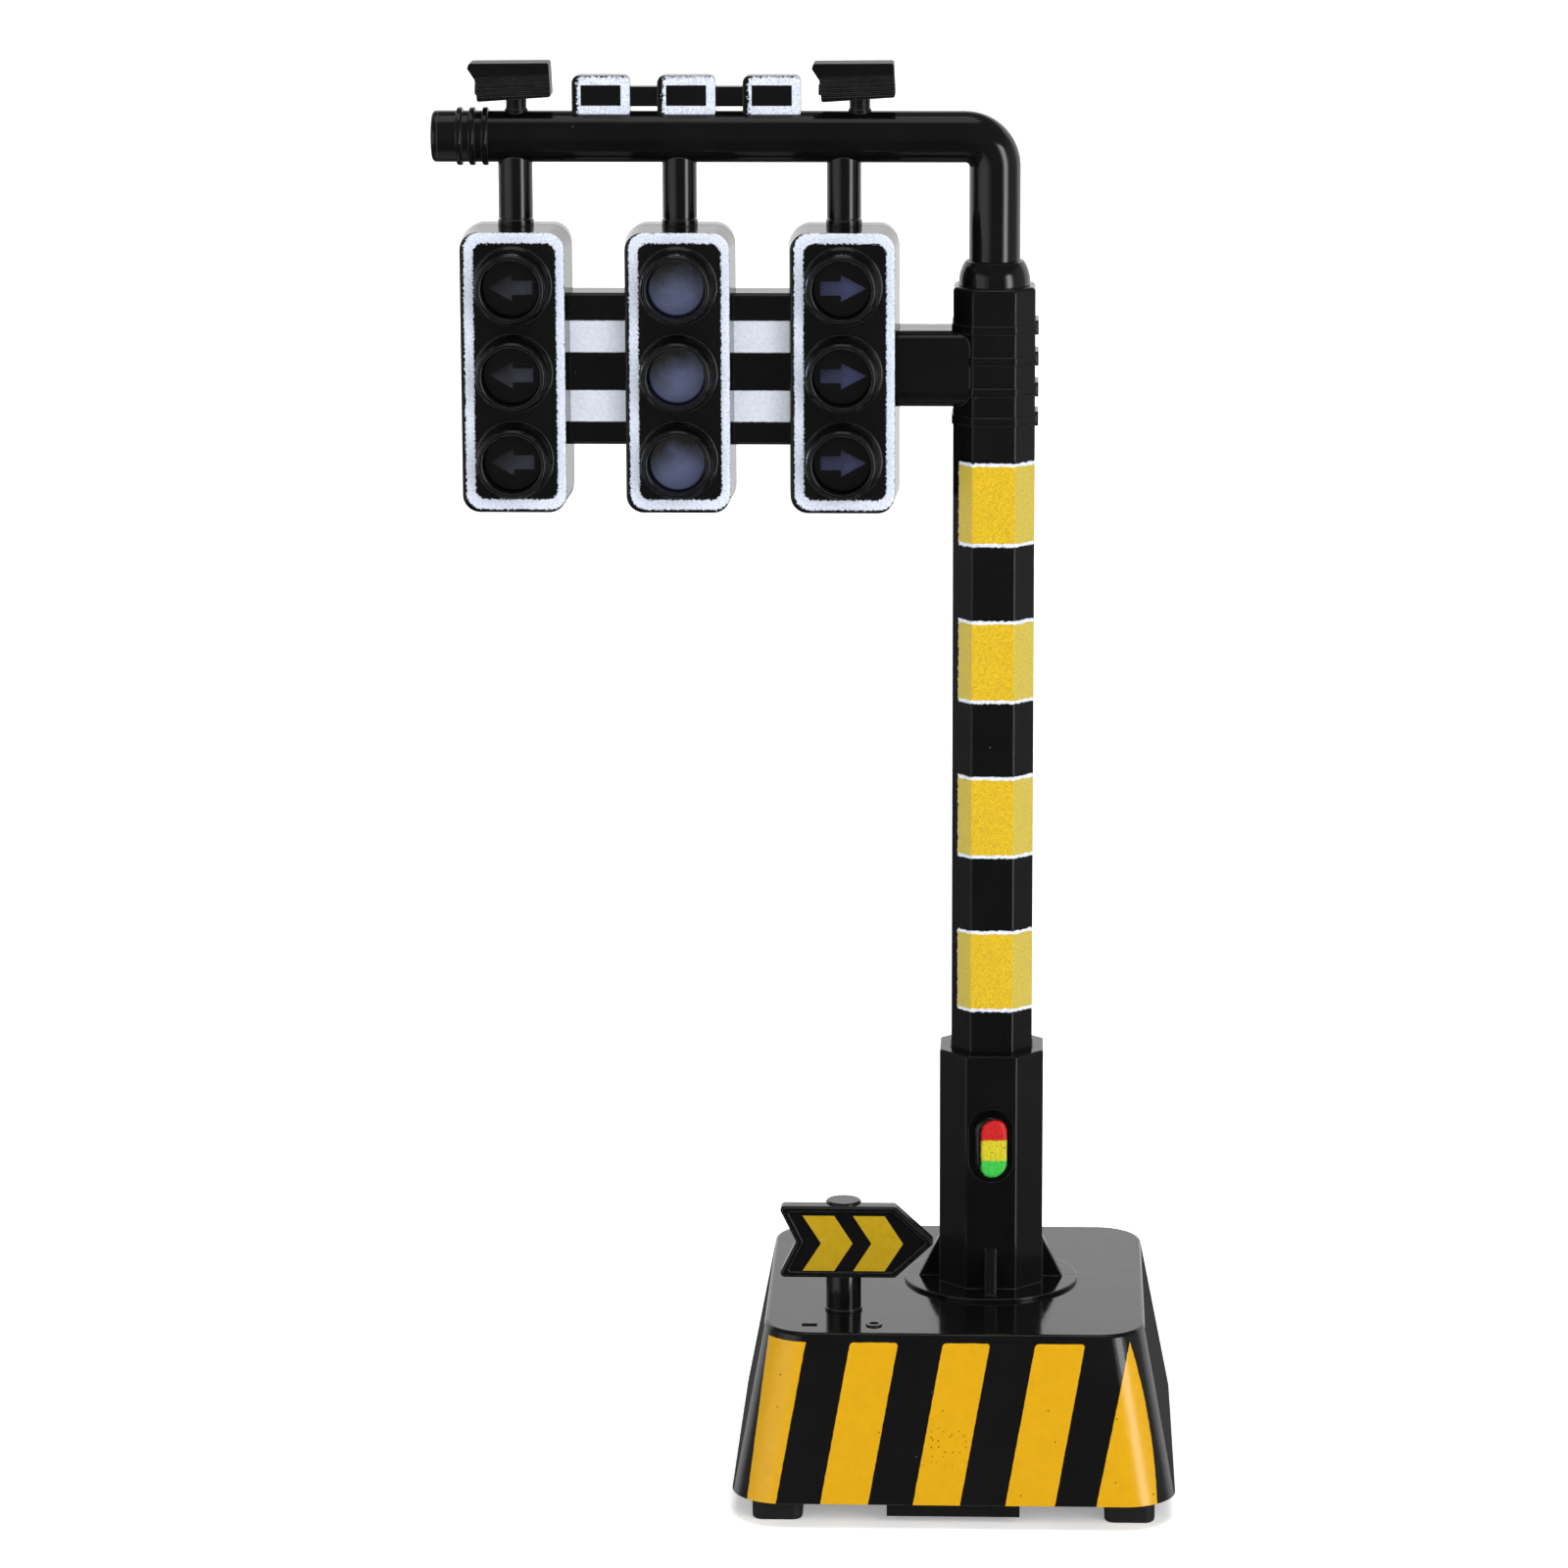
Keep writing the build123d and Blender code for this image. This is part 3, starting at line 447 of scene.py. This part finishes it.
def strip_material():
    """Flash strip with a white frame round each window."""
    n = Nodes("flash_frames")
    body = black_body(n)
    x, _, z = n.ragged(2.0, 2.0)
    frames = []
    for middle_x in FLASH_X:
        distance = n.rounded_box(x, z, (middle_x, FLASH_Z), FLASH_FRAME, FLASH_FRAME_R)
        frames.append(n.solid_where(distance, 0.2))
    face = n.short_of(STRIP_PRINT_BACK, n.y, 0.1)
    mask = n.both(n.either(*frames), face, ink_that_took(n, 2.8, 0.30, 0.42))
    tone, roughness, normal = printed(
        n, body, mask, PRINT_WHITE, roughness=0.38, grain_scale=2.4, grain=0.12, step=0.05)
    return n.shade(tone, roughness, normal, IOR=1.5)


def button_material():
    """Push button with red, yellow and green printed bands."""
    n = Nodes("button_bands")
    body_tone, body_roughness, body_normal = black_body(n)
    x, _, z = n.ragged(2.0, 0.7)
    pill = n.solid_where(n.rounded_box(x, z, PILL_AT, PILL_SIZE, PILL_R), 0.25)
    mask = n.both(pill, ink_that_took(n, 2.6, 0.3, 0.42))
    mask = n.both(mask, n.short_of(PILL_PRINT_BACK, n.y, 0.15))
    ink = n.mix(n.beyond(RED_FROM, z, 0.15), BUTTON_YELLOW, BUTTON_RED)
    ink = n.mix(n.short_of(GREEN_TO, z, 0.15), ink, BUTTON_GREEN)
    speckle = n.remap(n.noise(2.2, 4.0, 0.75), 0.3, 0.7)
    shaded = n.mix(speckle, (0.55, 0.55, 0.55, 1), (1, 1, 1, 1))
    tone = n.mix(mask, body_tone, n.multiply(1.0, ink, shaded))
    roughness = n.blend_values(mask, body_roughness, 0.35)
    normal = n.bump(mask, 0.4, 0.05, body_normal)
    return n.shade(tone, roughness, normal, IOR=1.5)


def ink_material(name, ink, roughness):
    """Flat coat of ink that covers a whole piece."""
    n = Nodes(name)
    speckle = n.noise(0.9, 3.0, 0.6)
    darker = tuple(part * 0.86 for part in ink[:3]) + (1.0,)
    tone = n.mix(n.remap(speckle, 0.3, 0.7), darker, ink)
    normal = n.bump(n.noise(1.6, 3.0), 0.2, 0.03, n.edge_normal(0.05))
    return n.shade(tone, n.remap(speckle, 0.3, 0.7, roughness, roughness + 0.1), normal, IOR=1.5)


def lens_material(name, side, lean, bright, dark):
    """Cloudy diffuser with painted shade under its hood and painted light low on the right.

    Lean is how far the shade's edge climbs for each millimetre to the right.
    """
    n = Nodes(name)
    rise = n.math("WRAP", n.math("SUBTRACT", n.z, HEAD_Z), LENS_PITCH / 2, -LENS_PITCH / 2)
    slant = n.math("MULTIPLY_ADD", n.math("SUBTRACT", n.x, HEAD_X[side]), -lean, rise)
    swirl = n.noise(0.2, 5.0, 0.65)
    shifted = n.math("MULTIPLY_ADD", swirl, 9.0, slant)
    # painted shade from the hood at the top of each lens, painted light low on the right
    tone = n.mix(n.remap(shifted, 2.0, 8.0), bright, dark)
    normal = n.bump(n.noise(0.5, 2.0), 0.1, 0.1)
    return n.shade(
        tone, n.remap(swirl, 0.3, 0.7, 0.16, 0.3), normal, IOR=1.49, Subsurface_Weight=0.15,
        Subsurface_Radius=(0.002, 0.002, 0.003))


def satin(name, base, roughness, scale=1.5, strength=0.25, metallic=0.0):
    """General moulded or machined surface with broken-up tone and fine grain."""
    n = Nodes(name)
    cloud = n.noise(scale * 0.2, 4.0, 0.6)
    darker = tuple(part * 0.72 for part in base[:3]) + (1.0,)
    tone = n.mix(n.remap(cloud, 0.3, 0.7), darker, base)
    grain = n.noise(scale, 4.0, 0.7)
    rough = n.remap(grain, 0.3, 0.7, roughness, roughness + 0.12)
    normal = n.bump(grain, strength, 0.03, n.edge_normal(0.08))
    return n.shade(tone, rough, normal, IOR=1.5, Metallic=metallic)


def assign(material, *names):
    """Give each named piece this one material."""
    for name in names:
        mesh = NODES[name].data
        mesh.materials.clear()
        mesh.materials.append(material)


black = black_plastic("gloss_black")
black_soft = black_plastic("gloss_black_soft", 0.5)
assign(base_material(), "base_shell")
assign(mast_material(), "mast_front", "mast_rear")
for head_side in SIDES:
    assign(head_material(head_side), f"head_front_{head_side}")
    assign(black, f"head_rear_{head_side}", f"hanger_{head_side}")
assign(board_material(), "cross_board_front")
assign(strip_material(), "flash_strip")
assign(button_material(), "push_button")
assign(
    black, "mast_cap", "gantry_tube", "tube_end_cap", "cross_board_rear", "sign_post",
    "sign_plate")
assign(black_soft, "housing_front", "housing_rear", "mast_straps")
assign(black_plastic("camera_black", 0.13, 0.25), "camera_left", "camera_right")
assign(ink_material("sign_yellow", SIGN_YELLOW, 0.14), "sign_chevrons")
assign(
    lens_material("diffuser", "middle", 0.3, (0.085, 0.1, 0.18, 1), (0.018, 0.018, 0.017, 1)),
    "lenses_middle")
assign(
    lens_material("dim_diffuser", "left", 0.9, (0.033, 0.035, 0.05, 1), (0.008, 0.008, 0.008, 1)),
    "lenses_left")
assign(
    lens_material("blue_diffuser", "right", 0.5, (0.042, 0.047, 0.11, 1), (0.014, 0.015, 0.03, 1)),
    "lenses_right")
assign(
    satin("mask_black", (0.003, 0.003, 0.0032, 1), 0.14), "arrow_masks_left",
    "arrow_masks_right", "flash_windows")
assign(satin("underside_black", (0.006, 0.006, 0.0063, 1), 0.3), "base_plate", "battery_door")
assign(satin("foot_rubber", (0.008, 0.008, 0.008, 1), 0.55, 2.5, 0.5), "feet")
assign(
    satin("plated_steel", (0.55, 0.55, 0.56, 1), 0.28, 2.0, 0.3, 1.0), "base_screws",
    "door_screw", "flange_screws", "mast_screws", "head_screws", "post_clip")
assign(satin("nickel", (0.62, 0.6, 0.56, 1), 0.22, 2.0, 0.2, 1.0), "battery_contacts")
assign(satin("cell_sleeve", (0.03, 0.08, 0.22, 1), 0.2, 1.0, 0.1), "batteries")
assign(
    satin("solder_mask", (0.01, 0.09, 0.03, 1), 0.25, 1.2, 0.3), "control_board",
    "button_board", "led_board_left", "led_board_middle", "led_board_right")
assign(
    satin("component_black", (0.012, 0.012, 0.013, 1), 0.4), "board_chips", "tact_switch",
    "rotary_switch", "switch_plunger")
assign(satin("led_resin", (0.6, 0.6, 0.63, 1), 0.1), "leds_left", "leds_middle", "leds_right")
assign(satin("speaker_steel", (0.4, 0.4, 0.41, 1), 0.3, 1.5, 0.2, 1.0), "speaker_frame")
assign(satin("speaker_paper", (0.02, 0.02, 0.02, 1), 0.75, 3.0, 0.6), "speaker_cone")
assign(satin("wire_red", (0.25, 0.01, 0.01, 1), 0.4), "wire_bundle")


# ---------------------------------------------------------------- stage
FLOOR_RADIUS = 3.0
FLOOR_GLOW = 0.3

# smooth 0-1-0 windows over a component of the direction: low0, low1, high1, high0
BACKDROP_HEIGHT = (-0.25, -0.17, 0.5, 0.62)
BACKDROP_REACH = (0.25, 0.6, 2.0, 3.0)
BACKDROP_GLOW, ROOM_GLOW = 0.9, 0.12
# further glowing parts of the room: axis, window, glow
ROOM_PARTS = (
    ("Z", (0.93, 0.97, 2.0, 3.0), 0.75),
    ("Z", (-3.0, -2.0, -0.94, -0.88), 0.45),
    ("X", (0.8, 0.97, 2.0, 3.0), 0.22),
    ("X", (-3.0, -2.0, -0.97, -0.8), 0.15))
DIM_BELOW, DIM_ABOVE, DIM_TO = -0.28, -0.18, 0.5

# name, direction it comes from, strength
SUN_ANGLE = math.radians(35)
SUNS = (
    ("sun_right", (0.42, -0.8, 0.55), 0.45),
    ("sun_left", (-0.55, -0.75, 0.6), 0.2),
    ("sun_top", (0.05, 0.15, 1.0), 0.7))

# upright panels beside the mast, all turned towards one point: name, place, size, watts
PANEL_TARGET = (0.0, 0.0, 0.1)
PANELS = (
    ("panel_left", (-1.50, -1.32, 0.1), (1.2, 1.9), 3.0),
    ("panel_left_wide", (-1.52, -1.34, 0.1), (2.3, 1.9), 4.8),
    ("panel_right", (1.53, -1.29, 0.1), (0.55, 1.9), 14.5),
    ("panel_right_wide", (1.55, -1.31, 0.1), (1.1, 1.9), 7.5))

CAMERA_AT = (0.0143, -1.13525, 0.38335)
CAMERA_DOWN, CAMERA_LEFT, CAMERA_ROLL = (math.radians(turn) for turn in (12.59, 2.35, -0.2005))
CAMERA_LENS, CAMERA_SENSOR = 143.71, 36.0


def make_floor():
    """Pale floor that casts no mirror image on the gloss black."""
    mesh = bpy.data.meshes.new("floor")
    bm = bmesh.new()
    bmesh.ops.create_circle(bm, cap_ends=True, segments=96, radius=FLOOR_RADIUS)
    bm.to_mesh(mesh)
    bm.free()
    floor = bpy.data.objects.new("floor", mesh)
    bpy.context.scene.collection.objects.link(floor)
    n = Nodes("floor_white")
    tone = n.mix(n.noise(0.004, 2.0), (0.9, 0.9, 0.9, 1), (0.94, 0.94, 0.94, 1))
    mesh.materials.append(n.shade(
        tone, 0.8, IOR=1.3, Emission_Color=(1, 1, 1, 1), Emission_Strength=FLOOR_GLOW))
    floor.visible_glossy = False


def add_panel(name, where, size, power):
    """Soft panel that the gloss black mirrors but the camera doesn't see."""
    data = bpy.data.lights.new(name, "AREA")
    data.shape = "RECTANGLE"
    data.size, data.size_y = size
    data.energy = power
    light = bpy.data.objects.new(name, data)
    light.location = Vector(where) + BASE_MIDDLE
    direction = Vector(PANEL_TARGET) - Vector(where)
    light.rotation_euler = direction.to_track_quat("-Z", "Y").to_euler()
    light.visible_camera = False
    bpy.context.scene.collection.objects.link(light)


def add_sun(name, towards, strength):
    """Soft even light that leaves no mirror image."""
    data = bpy.data.lights.new(name, "SUN")
    data.energy = strength * math.pi
    data.angle = SUN_ANGLE
    light = bpy.data.objects.new(name, data)
    light.rotation_euler = Vector(towards).to_track_quat("Z", "Y").to_euler()
    light.visible_glossy = False
    bpy.context.scene.collection.objects.link(light)


def make_world():
    """Dark room with a white backdrop and a few glowing parts; the camera sees plain white."""
    world = bpy.data.worlds.new("studio")
    bpy.context.scene.world = world
    world.use_nodes = True
    tree = world.node_tree
    tree.nodes.clear()

    def add(kind, **settings):
        node = tree.nodes.new(kind)
        for key, value in settings.items():
            setattr(node, key, value)
        return node

    def step(source, start, stop, lowest=0.0):
        """Smooth rise from lowest at start to 1 at stop."""
        node = add("ShaderNodeMapRange", interpolation_type="SMOOTHSTEP")
        node.inputs["From Min"].default_value = start
        node.inputs["From Max"].default_value = stop
        node.inputs["To Min"].default_value = lowest
        tree.links.new(source, node.inputs["Value"])
        return node.outputs[0]

    def product(a, b):
        node = add("ShaderNodeMath", operation="MULTIPLY")
        tree.links.new(a, node.inputs[0])
        tree.links.new(b, node.inputs[1])
        return node.outputs[0]

    def window(source, low0, low1, high1, high0):
        """Smooth 0-1-0 window over a component of the direction."""
        return product(step(source, low0, low1), step(source, high0, high1))

    def weighted(mask, weight, total):
        """Total plus weight times mask; the total may be a plain number."""
        node = add("ShaderNodeMath", operation="MULTIPLY_ADD")
        tree.links.new(mask, node.inputs[0])
        node.inputs[1].default_value = weight
        if isinstance(total, float):
            node.inputs[2].default_value = total
        else:
            tree.links.new(total, node.inputs[2])
        return node.outputs[0]

    coordinates = add("ShaderNodeTexCoord")
    split = add("ShaderNodeSeparateXYZ")
    tree.links.new(coordinates.outputs["Generated"], split.inputs[0])
    direction = split.outputs
    backdrop = product(
        window(direction["Z"], *BACKDROP_HEIGHT), window(direction["Y"], *BACKDROP_REACH))
    total = weighted(backdrop, BACKDROP_GLOW, ROOM_GLOW)
    for axis, limits, glow in ROOM_PARTS:
        total = weighted(window(direction[axis], *limits), glow, total)
    # light from below the horizon is dimmed
    total = product(total, step(direction["Z"], DIM_BELOW, DIM_ABOVE, DIM_TO))
    path = add("ShaderNodeLightPath")
    mix = add("ShaderNodeMix", data_type="FLOAT")
    tree.links.new(path.outputs["Is Camera Ray"], mix.inputs[0])
    tree.links.new(total, mix.inputs[2])
    mix.inputs[3].default_value = 1.0
    background = add("ShaderNodeBackground")
    tree.links.new(mix.outputs[0], background.inputs["Color"])
    output = add("ShaderNodeOutputWorld")
    tree.links.new(background.outputs[0], output.inputs["Surface"])


def make_camera():
    """Long lens slightly above and turned a little to the left."""
    data = bpy.data.cameras.new("camera")
    data.sensor_width = CAMERA_SENSOR
    data.lens = CAMERA_LENS
    data.clip_start, data.clip_end = 0.05, 50.0
    camera = bpy.data.objects.new("camera", data)
    bpy.context.scene.collection.objects.link(camera)
    camera.location = Vector(CAMERA_AT) + BASE_MIDDLE
    level = math.cos(CAMERA_DOWN)
    forward = Vector((
        -math.sin(CAMERA_LEFT) * level, math.cos(CAMERA_LEFT) * level, -math.sin(CAMERA_DOWN)))
    right = Vector((math.cos(CAMERA_LEFT), math.sin(CAMERA_LEFT), 0.0))
    up = right.cross(forward)
    rolled_right = math.cos(CAMERA_ROLL) * right + math.sin(CAMERA_ROLL) * up
    rolled_up = math.cos(CAMERA_ROLL) * up - math.sin(CAMERA_ROLL) * right
    rotation = [[rolled_right[i], rolled_up[i], -forward[i]] for i in range(3)]
    camera.rotation_mode = "QUATERNION"
    camera.rotation_quaternion = Matrix(rotation).to_quaternion()
    bpy.context.scene.camera = camera


make_floor()
make_world()
for sun in SUNS:
    add_sun(*sun)
for panel in PANELS:
    add_panel(*panel)
make_camera()

view_settings = bpy.context.scene.view_settings
view_settings.view_transform = "Standard"
view_settings.look = "None"
view_settings.exposure = 0.0
